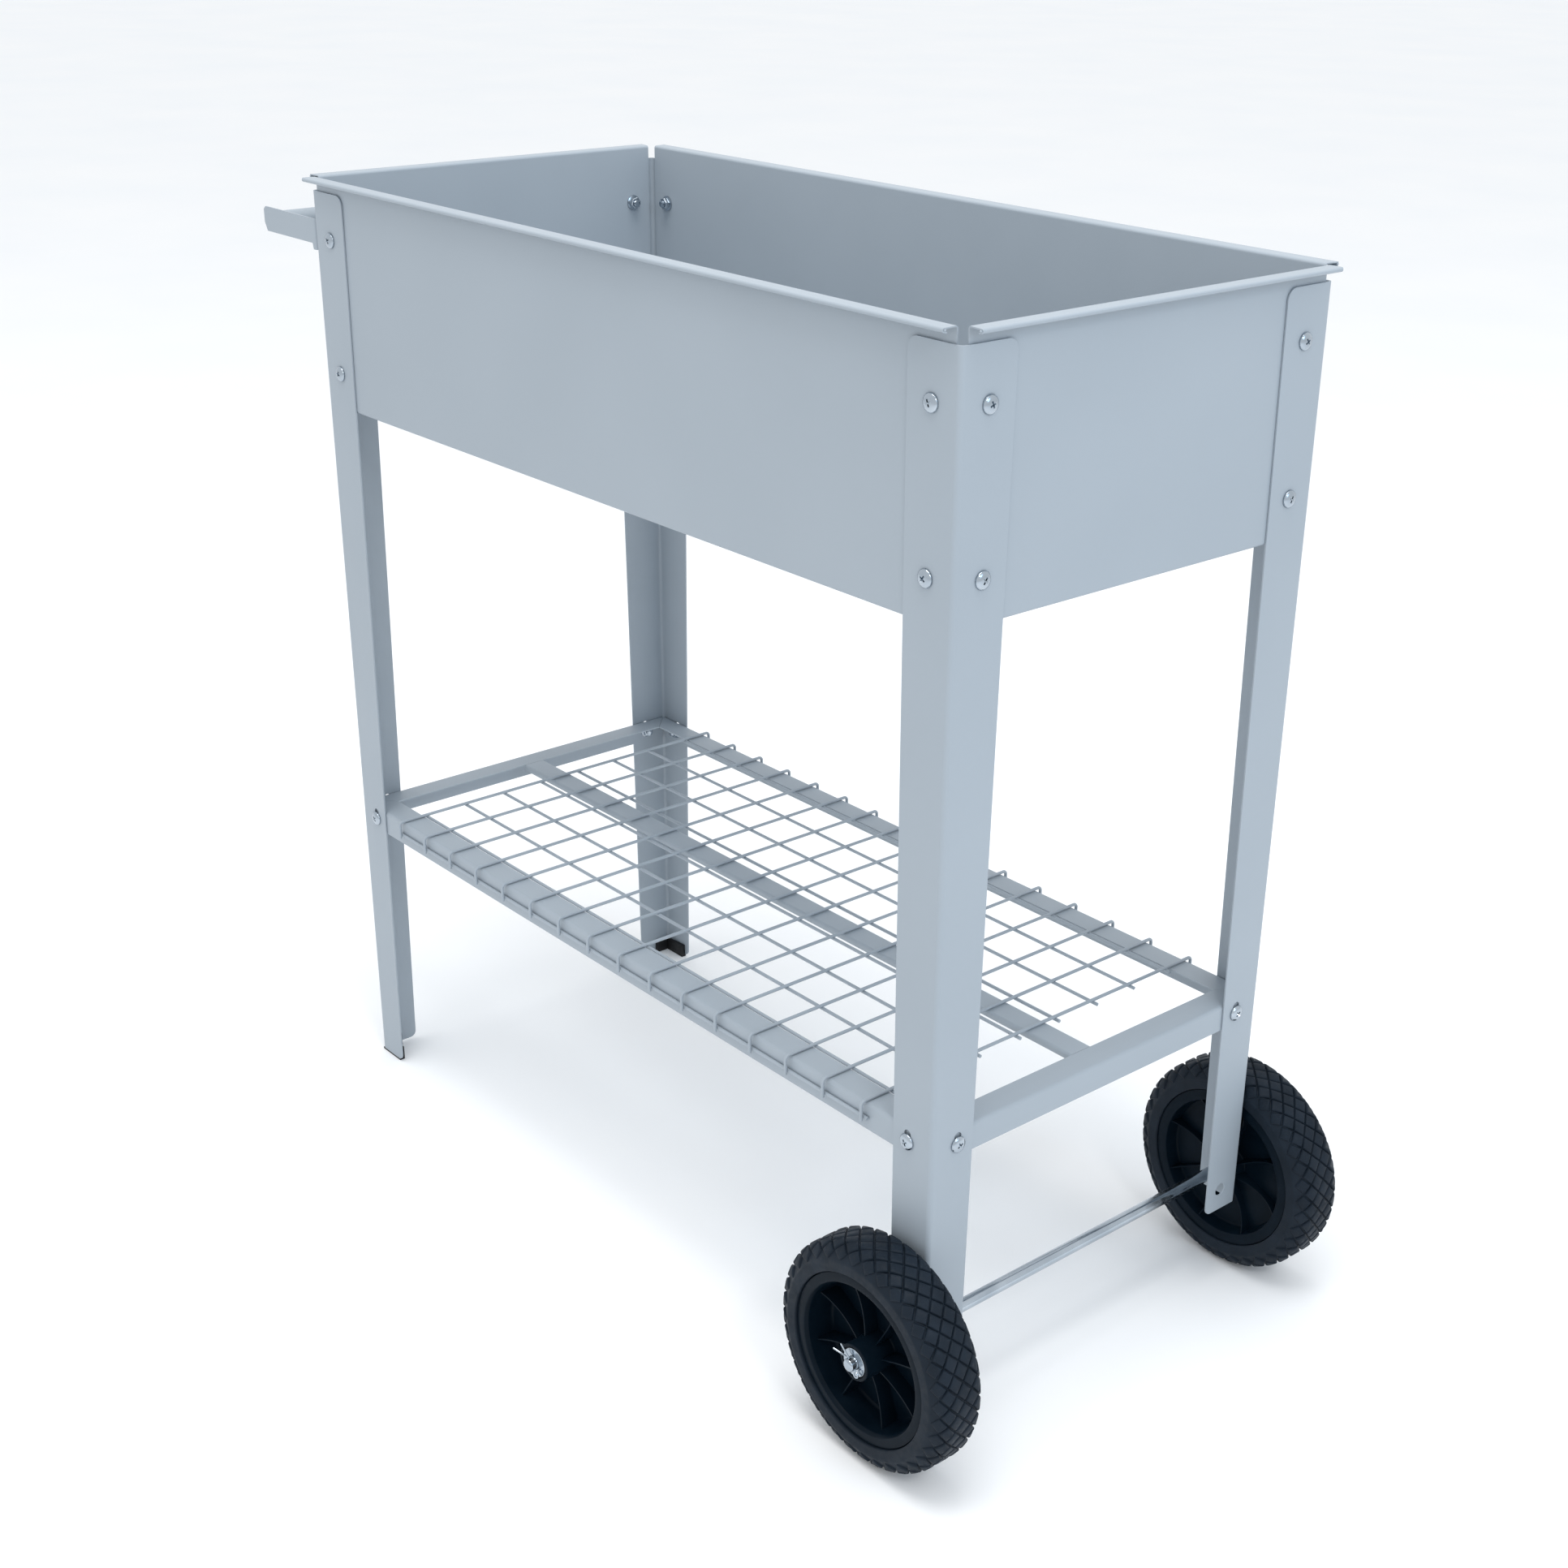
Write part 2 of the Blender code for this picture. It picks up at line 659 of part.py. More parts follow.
def axis_placement(sign_y):
    """Local +Z runs outward along the axle from the cart's middle."""
    return Matrix.Translation((WHEEL_X, 0.0, WHEEL_RADIUS)) @ Matrix.Rotation(-sign_y * math.pi / 2, 4, "X")


def add_axle(cart):
    chamfer = 1.6 * MM
    crown_radius = 2.6 * MM
    profile = (
        (crown_radius, -AXLE_HALF_LENGTH),
        (AXLE_RADIUS, -AXLE_HALF_LENGTH + chamfer),
        (AXLE_RADIUS, AXLE_HALF_LENGTH - chamfer),
        (crown_radius, AXLE_HALF_LENGTH),
    )
    axle = add_part(cart, "axle", "zinc", turned(profile, AXLE_SIDES), axis_placement(1), smooth=True)
    pin_axis = Vector((math.sin(PIN_TILT), 0.0, math.cos(PIN_TILT)))
    pin_holes = bmesh.new()
    for sign_y in SIDES.values():
        centre = Vector((WHEEL_X, sign_y * PIN_Y, WHEEL_RADIUS))
        reach = pin_axis * 2 * AXLE_RADIUS
        rod(centre - reach, centre + reach, PIN_HOLE, PIN_SIDES, pin_holes)
    apply_boolean(axle, add_cutter(cart, "pin_holes", pin_holes), "DIFFERENCE")
    profile = (
        (PIN_HEAD_RADIUS, PIN_HEAD[0]),
        (PIN_HEAD_RADIUS, PIN_HEAD[1]),
        (PIN_RADIUS, PIN_HEAD[1]),
        (PIN_RADIUS, PIN_TIP),
    )
    for name, sign_y in SIDES.items():
        centre = Matrix.Translation((WHEEL_X, sign_y * PIN_Y, WHEEL_RADIUS))
        placement = centre @ pin_axis.to_track_quat("Z", "Y").to_matrix().to_4x4()
        add_part(cart, "cotter_pin_" + name, "zinc", turned(profile, PIN_SIDES), placement, smooth=True)


def washer(start):
    end = start + WASHER_THICKNESS
    profile = ((WASHER_RADIUS, start), (WASHER_RADIUS, end), (AXLE_HOLE, end), (AXLE_HOLE, start))
    return turned(profile, WASHER_SIDES, ring=True)


def wheel_ring(profile_mm, sides, flat_bottom):
    """A turned ring about the axle. With a flat bottom its facets, not its corners, reach the radius."""
    grow = 1.0 / math.cos(math.pi / sides) if flat_bottom else 1.0
    loops = [circle(radius * MM * grow, along * MM, sides, flat_bottom) for radius, along in profile_mm]
    return loft(loops, ring=True)


def add_wheels(cart):
    for name, sign_y in SIDES.items():
        placement = axis_placement(sign_y)
        add_part(cart, "washer_inner_" + name, "zinc", washer(INNER_WASHER_Y), placement, smooth=True)
        add_part(cart, "washer_outer_" + name, "zinc", washer(OUTER_WASHER_Y), placement, smooth=True)
        rim = wheel_ring(RIM_PROFILE, RIM_SIDES, flat_bottom=False)
        add_part(cart, "wheel_rim_" + name, "rim_plastic", rim, placement, smooth=True)
        tyre = wheel_ring(TYRE_PROFILE, TYRE_SIDES, flat_bottom=True)
        add_part(cart, "tyre_" + name, "tyre_rubber", tyre, placement, smooth=True)


def cap_outline(start, end):
    """An L outline: both legs of it lie between two distances from the outer corner."""
    side_reach = leg_width(0.0) - CAP_SHORT_OF_EDGE
    side_arm = ((start, start), (side_reach, start), (side_reach, end))
    return side_arm + ((end, end), (end, CAP_END_REACH), (start, CAP_END_REACH))


def add_foot_caps(cart):
    """The caps inside the feet of the handle-end legs, with a thin sole under the sheet."""
    inner_start = LEG_BEND
    end = LEG_INNER_STEP + CAP_THICKNESS
    sole = cap_outline(GAP, end)
    plug = list(cap_outline(LEG_INNER_STEP, end))
    plug[0] = (inner_start, inner_start)
    levels = ((0.0, sole), (CAP_SOLE, sole), (CAP_SOLE, plug), (CAP_HEIGHT, plug))
    for name, sign_y in SIDES.items():
        loops = []
        for height, outline in levels:
            spots = [(-(HALF_LENGTH - in_x), sign_y * (HALF_WIDTH - in_y), height) for in_x, in_y in outline]
            loops.append([Vector(spot) for spot in spots])
        add_part(cart, "foot_cap_" + name, "cap_plastic", loft(loops))


def build():
    clear_scene()
    cart = add_cart_origin()
    leg_holes = add_screw_cutter(cart, "leg_screw_holes", slotted=True)
    sheet_holes = add_screw_cutter(cart, "sheet_screw_holes", slotted=False)
    axle_holes = add_axle_cutter(cart)
    add_tray_walls(cart, sheet_holes)
    add_tray_floor(cart)
    add_legs(cart, leg_holes, axle_holes)
    add_handle(cart, sheet_holes)
    add_shelf_rails(cart, sheet_holes)
    add_middle_bar(cart)
    add_shelf_grid(cart)
    add_axle(cart)
    add_wheels(cart)
    add_foot_caps(cart)
    add_screws(cart)


build()
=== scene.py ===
"""Looks of the raised planter cart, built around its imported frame.

Metres, +Z up. Shapes are laid out from the middle of the tray and then moved by CART_PLACE.
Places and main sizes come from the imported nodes, so each piece lies where its CAD node lies.
"""

import math

import bmesh
import bpy
from mathutils import Matrix, Quaternion, Vector


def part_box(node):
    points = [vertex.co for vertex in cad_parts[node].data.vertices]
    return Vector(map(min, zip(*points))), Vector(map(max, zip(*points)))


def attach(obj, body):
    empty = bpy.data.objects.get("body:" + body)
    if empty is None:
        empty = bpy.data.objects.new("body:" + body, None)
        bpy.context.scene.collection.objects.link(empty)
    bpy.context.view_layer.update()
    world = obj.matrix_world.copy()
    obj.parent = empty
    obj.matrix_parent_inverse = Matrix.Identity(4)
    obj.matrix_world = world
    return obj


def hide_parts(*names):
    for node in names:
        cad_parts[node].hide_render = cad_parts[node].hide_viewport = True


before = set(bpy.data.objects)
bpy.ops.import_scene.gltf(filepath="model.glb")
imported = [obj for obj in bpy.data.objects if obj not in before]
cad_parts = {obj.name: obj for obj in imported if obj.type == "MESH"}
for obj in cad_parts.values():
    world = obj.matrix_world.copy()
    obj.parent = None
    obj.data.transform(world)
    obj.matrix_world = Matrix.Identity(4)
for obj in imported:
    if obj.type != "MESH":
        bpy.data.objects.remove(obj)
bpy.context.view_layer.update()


def middle(node):
    low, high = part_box(node)
    return (low + high) / 2


MM = 0.001
GAP = 0.3 * MM
BEND_STEPS = 8
SMOOTH_ANGLE = math.radians(32.0)

# Camera
CAMERA_PLACE = (1.30905, -1.06847, 1.06582)
CAMERA_AZIMUTH = math.radians(49.043)
CAMERA_ELEVATION = math.radians(25.160)
CAMERA_ROLL = math.radians(0.750)
CAMERA_LENS = 50.69
CAMERA_SHIFT = (-0.0261, 0.0562)

# Sheet metal
LEG_SHEET = 1.2 * MM
LEG_BEND = 4.0 * MM
LEG_WIDTH_TOP = 46.5 * MM
LEG_WIDTH_GROUND = 35.5 * MM
LEG_CORNER_TOP = 8.0 * MM
LEG_CORNER_BOTTOM = 6.0 * MM
TRAY_SHEET = 0.8 * MM
TRAY_BEND = 2.2 * MM
LIP_REACH = 12.5 * MM
LIP_DROP = 3.2 * MM
LIP_HEM = 1.9 * MM
LIP_WIRE = 0.78 * MM
TRAY_FLANGE = 15.0 * MM
WALL_END_CUT = 4.8 * MM
LIP_END_CUT = 2.2 * MM
MITRE = 0.25 * MM
DRAIN_RADIUS = 5.0 * MM
DRAIN_ROWS = 3
DRAINS_A_ROW = 6
DRAIN_PITCH_X = 120.0 * MM
DRAIN_PITCH_Y = 100.0 * MM

# Shelf
RAIL_FLANGE = 22.0 * MM
RAIL_SHEET = 1.2 * MM
RAIL_BEND = 3.0 * MM
RAIL_END_CUT = 2.5 * MM
BAR_FOLD = 5.0 * MM
BAR_BEND = 2.4 * MM
WIRE_RADIUS = 1.35 * MM
WIRE_SIDES = 12
WIRE_CROSS = 2.5 * MM
WIRE_PITCH = 41.5 * MM
WIRE_BEND = 3.2 * MM
CROSS_WIRES = 16
LONG_WIRES = 8
WIRE_NUB = 4.3 * MM
END_WIRE_DROP = 11.0 * MM

# Screws
SCREW_INSET = 24.5 * MM
SCREW_HEIGHTS = {"upper": 763.0 * MM, "lower": 655.0 * MM, "shelf": 251.0 * MM}
SCREW_RADIUS = 3.0 * MM
SCREW_HOLE = 3.4 * MM
SCREW_SIDES = 40
SLOT_RISE = 6.0 * MM
HEAD_CURVE = (  # (radius, rise) in millimetres
    (6.3, 0.0),
    (6.3, 0.55),
    (6.15, 1.0),
    (5.75, 1.5),
    (5.0, 2.0),
    (3.9, 2.45),
    (2.4, 2.72),
    (0.9, 2.8),
)
RECESS_HALF_WIDTH = 0.65 * MM
RECESS_REACH = 2.9 * MM
RECESS_DEPTH = 1.7 * MM
NUT_FLANGE_RADIUS = 6.4 * MM
NUT_ACROSS_CORNERS = 5.2 * MM
NUT_HEIGHT = 5.0 * MM
NUT_FLANGE_EDGE = 0.7 * MM
NUT_SKIRT = 1.5 * MM
TIP_LENGTH = 2.4 * MM
THREAD_DEPTH = 0.25 * MM
THREAD_TURNS = 5

# Push handle
HANDLE_END = 469.0 * MM
HANDLE_TOP = 777.0 * MM
HANDLE_BOTTOM = 757.0 * MM
TAB_BOTTOM = 752.0 * MM
TAB_INNER_Y = 133.0 * MM
HANDLE_SHEET = 1.5 * MM
HANDLE_BEND = 3.0 * MM
TAB_STEP = (2.0 * HANDLE_BEND, 2.4 * HANDLE_BEND)  # where an arm narrows past its tab, out from the leg
ARM_FACE_Y = 171.2 * MM
ARM_TOP_CHAMFER = (3.0 * MM, 2.5 * MM)
ARM_BOTTOM_CHAMFER = (4.0 * MM, 7.0 * MM)
GRIP_WALL = 1.5 * MM

# Wheels: profiles are (radius, distance from the cart's middle) in millimetres
TURN_SIDES = 96
RIBS = 8
RIB_HALF_THICKNESS = 0.7 * MM
RIB_SWIRL = math.radians(2.0)
RIB_START = 13.6
RIB_END = 57.6
RIB_STEPS = 10
OUTER_RIB = (191.0, 207.0, 204.0, 208.0)  # floor of the dish, then the rib's edge at hub, middle and wall
INNER_RIB = (190.0, 178.0, 186.0, 177.5)
TREAD_COLUMNS = 36
TREAD_PITCH = 14.0 * MM
TREAD_ROWS = 3
TREAD_HEIGHT = 2.0 * MM
BLOCK_LEVELS = ((-0.8 * MM, 0.98), (1.2 * MM, 0.86), (1.75 * MM, 0.76), (1.95 * MM, 0.62))
TREAD_FLAT = 10.0 * MM
TREAD_SHOULDER = 12.0 * MM
TYRE_MIDDLE = 196.5 * MM
AXLE_HOLE = 5.45 * MM
PIN_Y = 223.0 * MM
PIN_TILT = math.radians(-40.0)
PIN_WIRE = 0.68 * MM
PIN_GRIP = 5.6 * MM
PIN_NECK = -5.4 * MM
PIN_EYE = 2.2 * MM
PIN_EYE_CENTRE = -8.2 * MM
PIN_EYE_STEPS = 12

RIM_OUTLINE = (
    (5.45, 173.8, 0.2),
    (12.4, 173.8, 0.6),
    (14.2, 190.0, 1.5),
    (56.0, 188.0, 2.0),
    (58.0, 176.1, 0.8),
    (66.8, 176.1, 0.5),
    (66.8, 216.4, 0.7),
    (59.2, 216.4, 1.2),
    (57.6, 213.5, 1.0),
    (56.0, 192.2, 3.0),
    (15.0, 194.0, 1.5),
    (14.4, 220.5, 0.6),
    (12.1, 220.5, 0.5),
    (11.9, 219.1, 0.1),
    (5.45, 219.0, 0.2),
)
TYRE_OUTLINE = (
    (67.3, 175.4, 0.3),
    (68.0, 174.6, 0.4),
    (76.0, 174.5, 4.0),
    (84.6, 179.5, 5.0),
    (86.9, 186.5, 6.0),
    (86.9, 206.5, 6.0),
    (84.6, 213.5, 5.0),
    (76.0, 218.5, 4.0),
    (68.0, 218.4, 0.4),
    (67.3, 217.6, 0.3),
)

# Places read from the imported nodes, from the middle of the tray
TRAY_X = middle("tray_floor").x
CART_PLACE = Matrix.Translation((TRAY_X, 0.0, 0.0))
HALF_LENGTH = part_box("leg_front_wheel")[1].x - TRAY_X
HALF_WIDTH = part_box("leg_back_wheel")[1].y
LEG_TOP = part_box("leg_front_wheel")[1].z
RIM_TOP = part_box("tray_wall_front")[1].z
TRAY_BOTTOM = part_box("tray_wall_front")[0].z
RAIL_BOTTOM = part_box("shelf_rail_front")[0].z
SHELF_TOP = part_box("shelf_rail_front")[1].z
WALL_X = HALF_LENGTH - LEG_SHEET - GAP
WALL_Y = HALF_WIDTH - LEG_SHEET - GAP
WHEEL_X = middle("axle").x - TRAY_X
WHEEL_Z = middle("axle").z

CORNERS = {
    "front_wheel": (1, -1),
    "back_wheel": (1, 1),
    "front_handle": (-1, -1),
    "back_handle": (-1, 1),
}
SIDES = {"front": -1, "back": 1}
ENDS = {"wheel_end": 1, "handle_end": -1}

# patches is the scale of the change in tone; grain and depth are the scale and height of the fine texture
FINISHES = {
    "powder_coat": {
        "dark": (0.322, 0.368, 0.412),
        "light": (0.340, 0.387, 0.432),
        "roughness": (0.38, 0.46),
        "specular": 0.4,
        "patches": 7.0,
        "grain": 1400.0,
        "depth": 0.00004,
    },
    "zinc": {
        "dark": (0.36, 0.41, 0.46),
        "light": (0.46, 0.51, 0.56),
        "roughness": (0.15, 0.24),
        "metallic": 1.0,
        "specular": 0.5,
        "patches": 40.0,
        "grain": 2200.0,
        "depth": 0.000005,
    },
    "cap_plastic": {
        "dark": (0.006, 0.006, 0.007),
        "light": (0.011, 0.011, 0.012),
        "roughness": (0.45, 0.6),
        "specular": 0.3,
        "patches": 90.0,
        "grain": 1600.0,
        "depth": 0.00004,
    },
    "rim_plastic": {
        "dark": (0.0020, 0.0060, 0.0110),
        "light": (0.0035, 0.0085, 0.0150),
        "roughness": (0.30, 0.40),
        "specular": 0.06,
        "patches": 60.0,
        "grain": 1500.0,
        "depth": 0.00002,
    },
    "tyre": {
        "dark": (0.006, 0.011, 0.018),
        "light": (0.010, 0.017, 0.027),
        "roughness": (0.46, 0.62),
        "specular": 0.14,
        "patches": 60.0,
        "grain": 1200.0,
        "depth": 0.00010,
    },
}
FLOOR_FINISH = {
    "dark": (0.93, 0.94, 0.95),
    "light": (0.96, 0.96, 0.96),
    "roughness": (0.8, 0.9),
    "specular": 0.2,
    "patches": 2.0,
    "grain": 40.0,
    "depth": 0.0002,
}

# Studio: each light is (name, place, size, power, colour)
SURROUND = (0.95, 0.975, 1.0, 1.0)
FLOOR_SIZE = 120.0
LIGHT_TARGET = (0.0, 0.0, 0.5)
LIGHTS = (
    ("top_light", (0.3, -0.4, 3.2), 1.6, 44.0, (1.0, 0.99, 0.98)),
    ("wheel_end_light", (3.4, 0.1, 2.0), 1.2, 14.0, (0.50, 0.74, 1.0)),
    ("key_light", (2.3, -0.9, 2.3), 0.4, 9.0, (1.0, 1.0, 1.0)),
)


def ramp_between(tree, factor, dark, light):
    ramp = tree.nodes.new("ShaderNodeValToRGB")
    ramp.color_ramp.elements[0].position = 0.3
    ramp.color_ramp.elements[1].position = 0.7
    ramp.color_ramp.elements[0].color = (*dark, 1.0)
    ramp.color_ramp.elements[1].color = (*light, 1.0)
    tree.links.new(factor, ramp.inputs["Fac"])
    return ramp.outputs["Color"]


def noise(tree, place, scale, detail):
    texture = tree.nodes.new("ShaderNodeTexNoise")
    texture.inputs["Scale"].default_value = scale
    texture.inputs["Detail"].default_value = detail
    tree.links.new(place, texture.inputs["Vector"])
    return texture.outputs["Fac"]


def ranged(tree, value, low, high):
    spread = tree.nodes.new("ShaderNodeMapRange")
    spread.inputs["From Min"].default_value = 0.3
    spread.inputs["From Max"].default_value = 0.7
    spread.inputs["To Min"].default_value = low
    spread.inputs["To Max"].default_value = high
    tree.links.new(value, spread.inputs["Value"])
    return spread.outputs["Result"]


def new_finish(name, dark, light, roughness, specular, patches, grain, depth, metallic=0.0):
    """A finish with patches of tone, uneven gloss and a fine grain in its surface."""
    material = bpy.data.materials.new(name)
    material.use_nodes = True
    tree = material.node_tree
    shader = tree.nodes["Principled BSDF"]
    shader.inputs["Metallic"].default_value = metallic
    shader.inputs["Specular IOR Level"].default_value = specular
    place = tree.nodes.new("ShaderNodeTexCoord").outputs["Object"]
    tone = ramp_between(tree, noise(tree, place, patches, 3.0), dark, light)
    tree.links.new(tone, shader.inputs["Base Color"])
    gloss = ranged(tree, noise(tree, place, patches * 4.0, 2.0), *roughness)
    tree.links.new(gloss, shader.inputs["Roughness"])
    bump = tree.nodes.new("ShaderNodeBump")
    bump.inputs["Strength"].default_value = 0.6
    bump.inputs["Distance"].default_value = depth
    tree.links.new(noise(tree, place, grain, 2.0), bump.inputs["Height"])
    tree.links.new(bump.outputs["Normal"], shader.inputs["Normal"])
    return material


def loft(loops, ring=False, into=None):
    """Joins equal loops of points in turn. A ring also joins the last to the first; else both ends close."""
    solid = into or bmesh.new()
    rows = [[solid.verts.new(point) for point in loop] for loop in loops]
    joins = list(zip(rows, rows[1:]))
    made = []
    if ring:
        joins.append((rows[-1], rows[0]))
    else:
        made.append(solid.faces.new(rows[0][::-1]))
        made.append(solid.faces.new(rows[-1]))
    for lower, upper in joins:
        for index in range(len(lower)):
            after = (index + 1) % len(lower)
            made.append(solid.faces.new((lower[index], lower[after], upper[after], upper[index])))
    bmesh.ops.recalc_face_normals(solid, faces=made)
    return solid


def circle(radius, along, sides):
    angles = [math.tau * index / sides for index in range(sides)]
    return [Vector((radius * math.cos(angle), radius * math.sin(angle), along)) for angle in angles]


def turned(profile, sides=TURN_SIDES, ring=False, into=None):
    """A piece turned about Z from (radius, along) points."""
    return loft([circle(radius, along, sides) for radius, along in profile], ring, into)


def arc(before, corner, after, radius, steps):
    """Points that round one corner of a path."""
    back = (before - corner).normalized()
    ahead = (after - corner).normalized()
    half_angle = back.angle(ahead) / 2
    centre = corner + (back + ahead).normalized() * radius / math.sin(half_angle)
    run = radius / math.tan(half_angle)
    spoke = corner + back * run - centre
    sweep = spoke.rotation_difference(corner + ahead * run - centre)
    turns = [Quaternion().slerp(sweep, step / steps) for step in range(steps + 1)]
    return [centre + turn @ spoke for turn in turns]


def rounded_path(points, radius, steps=BEND_STEPS):
    points = [Vector(point) for point in points]
    path = [points[0]]
    for before, corner, after in zip(points, points[1:], points[2:]):
        path += arc(before, corner, after, radius, steps)
    return path + [points[-1]]


def rounded_outline(outline_mm, steps=4):
    """A closed (radius, along) profile from (radius, along, corner radius) points in millimetres."""
    spots = [Vector((radius, along, 0.0)) * MM for radius, along, _ in outline_mm]
    path = []
    for index, (_, _, corner_radius) in enumerate(outline_mm):
        after = spots[(index + 1) % len(spots)]
        path += arc(spots[index - 1], spots[index], after, corner_radius * MM, steps)
    return [(point.x, point.y) for point in path]


def tube(path, radius, sides, into=None):
    """A round wire along a path of points."""
    points = [Vector(point) for point in path]
    normal = (points[1] - points[0]).orthogonal().normalized()
    loops = []
    for index, point in enumerate(points):
        ahead = points[min(index + 1, len(points) - 1)] - points[max(index - 1, 0)]
        tangent = ahead.normalized()
        normal = (normal - tangent * normal.dot(tangent)).normalized()
        side = tangent.cross(normal)
        angles = [math.tau * step / sides for step in range(sides)]
        spokes = [normal * math.cos(angle) + side * math.sin(angle) for angle in angles]
        loops.append([point + spoke * radius for spoke in spokes])
    return loft(loops, into=into)


def prism(outline, low, high, turn=None, into=None):
    """An outline of (x, y) points pulled from low to high along Z, then turned."""
    turn = turn or Matrix.Identity(4)
    return loft([[turn @ Vector((x, y, z)) for x, y in outline] for z in (low, high)], into=into)


def bend(points, thickness, radii):
    """Face and back points of a sheet that follows points. A positive thickness lies to the left of them."""
    face = [Vector(points[0])]
    normals = []
    for before, corner, after, radius in zip(points, points[1:], points[2:], radii):
        heading = (Vector(corner) - Vector(before)).normalized()
        heading_after = (Vector(after) - Vector(corner)).normalized()
        normal = Vector((-heading.y, heading.x))
        turn = math.atan2(heading.cross(heading_after), heading.dot(heading_after))
        side = math.copysign(1.0, turn)
        line_radius = radius if side * thickness > 0 else radius - abs(thickness)
        back = heading * line_radius * math.tan(abs(turn) / 2)
        centre = Vector(corner) - back + normal * side * line_radius
        if not normals:
            normals.append(normal)
        for step in range(BEND_STEPS + 1):
            turned_normal = normal.copy()
            turned_normal.rotate(Matrix.Rotation(turn * step / BEND_STEPS, 2))
            face.append(centre - turned_normal * side * line_radius)
            normals.append(turned_normal)
    face.append(Vector(points[-1]))
    normals.append(normals[-1])
    return [(point, point + normal * thickness) for point, normal in zip(face, normals)]


def folded_sheet(pairs, spans, place):
    """A closed folded sheet: each (face, back) pair runs over its own span along the fold."""
    loops = []
    for (face, back), (start, end) in zip(pairs, spans):
        loops.append([place(face, start), place(face, end), place(back, end), place(back, start)])
    return loft(loops)


def new_object(name, solid, placement=None):
    mesh = bpy.data.meshes.new(name)
    solid.to_mesh(mesh)
    solid.free()
    if placement is not None:
        mesh.transform(placement)
    mesh.transform(CART_PLACE)
    item = bpy.data.objects.new(name, mesh)
    bpy.context.scene.collection.objects.link(item)
    return item


def cut(item, solid):
    """Cuts a solid out of an object for good."""
    cutter = new_object("cutter", solid)
    modifier = item.modifiers.new("Holes", "BOOLEAN")
    modifier.operation = "DIFFERENCE"
    modifier.solver = "EXACT"
    modifier.object = cutter
    shape = item.evaluated_get(bpy.context.evaluated_depsgraph_get())
    mesh = bpy.data.meshes.new_from_object(shape)
    item.modifiers.clear()
    item.data = mesh
    bpy.data.objects.remove(cutter)


def finish_piece(item, slot, body, *nodes):
    """Smooths an object, gives it its finish and stands it in for its CAD nodes."""
    item.data.materials.clear()
    item.data.materials.append(MATERIALS[slot])
    item.data.shade_smooth()
    item.data.set_sharp_from_angle(angle=SMOOTH_ANGLE)
    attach(item, body)
    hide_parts(*nodes)


def add_piece(node, slot, solid, body="cart", placement=None, holes=None):
    item = new_object(node + "_look", solid, placement)
    if holes:
        cut(item, holes)
    finish_piece(item, slot, body, node)
    return item


def leg_width(height):
    return LEG_WIDTH_GROUND + (LEG_WIDTH_TOP - LEG_WIDTH_GROUND) * height / LEG_TOP


def leg_columns(bottom):
    """(distance from the corner, height) at the foot and head of the cuts down one flange, from its edge."""
    columns = []
    for step in range(BEND_STEPS + 1):
        angle = math.pi / 2 * step / BEND_STEPS
        out = 1.0 - math.cos(angle)
        down = 1.0 - math.sin(angle)
        foot = (leg_width(bottom) - LEG_CORNER_BOTTOM * out, bottom + LEG_CORNER_BOTTOM * down)
        head = (LEG_WIDTH_TOP - LEG_CORNER_TOP * out, LEG_TOP - LEG_CORNER_TOP * down)
        columns.append(foot + head)
    return columns


def leg_solid(corner, bottom):
    sign_x, sign_y = corner
    inner_radius = LEG_BEND - LEG_SHEET

    def place(in_x, in_y, height):
        return Vector((sign_x * (HALF_LENGTH - in_x), sign_y * (HALF_WIDTH - in_y), height))

    loops = []
    for near_bottom, low, near_top, high in leg_columns(bottom):
        face = [place(near_bottom, 0.0, low), place(near_top, 0.0, high)]
        back = [place(near_top, LEG_SHEET, high), place(near_bottom, LEG_SHEET, low)]
        loops.append(face + back)
    for step in range(BEND_STEPS + 1):
        angle = math.pi * 1.5 - math.pi / 2 * step / BEND_STEPS
        outer = (LEG_BEND + LEG_BEND * math.cos(angle), LEG_BEND + LEG_BEND * math.sin(angle))
        inner = (LEG_BEND + inner_radius * math.cos(angle), LEG_BEND + inner_radius * math.sin(angle))
        face = [place(*outer, bottom), place(*outer, LEG_TOP)]
        back = [place(*inner, LEG_TOP), place(*inner, bottom)]
        loops.append(face + back)
    for near_bottom, low, near_top, high in reversed(leg_columns(bottom)):
        face = [place(0.0, near_bottom, low), place(0.0, near_top, high)]
        back = [place(LEG_SHEET, near_top, high), place(LEG_SHEET, near_bottom, low)]
        loops.append(face + back)
    return loft(loops)


def screw_points(sign_x, sign_y, height):
    """(face name, outward axis, point on the leg's outer face) of a corner's two screws at a height."""
    side_point = Vector((sign_x * (HALF_LENGTH - SCREW_INSET), sign_y * HALF_WIDTH, height))
    end_point = Vector((sign_x * HALF_LENGTH, sign_y * (HALF_WIDTH - SCREW_INSET), height))
    return (("side", Vector((0.0, sign_y, 0.0)), side_point), ("end", Vector((sign_x, 0.0, 0.0)), end_point))


def keyhole_cutter(sign_x, sign_y):
    """The slots that rise past a leg's two shelf screws."""
    solid = bmesh.new()
    for _, outward, point in screw_points(sign_x, sign_y, SCREW_HEIGHTS["shelf"]):
        turn = outward.to_track_quat("Z", "Y")
        loops = []
        for along in (-8.0 * MM, 8.0 * MM):
            loop = [point + turn @ spot for spot in circle(SCREW_HOLE, along, 24)]
            for spot in loop:
                spot.z += SLOT_RISE if spot.z > point.z else 0.0
            loops.append(loop)
        loft(loops, into=solid)
    return solid


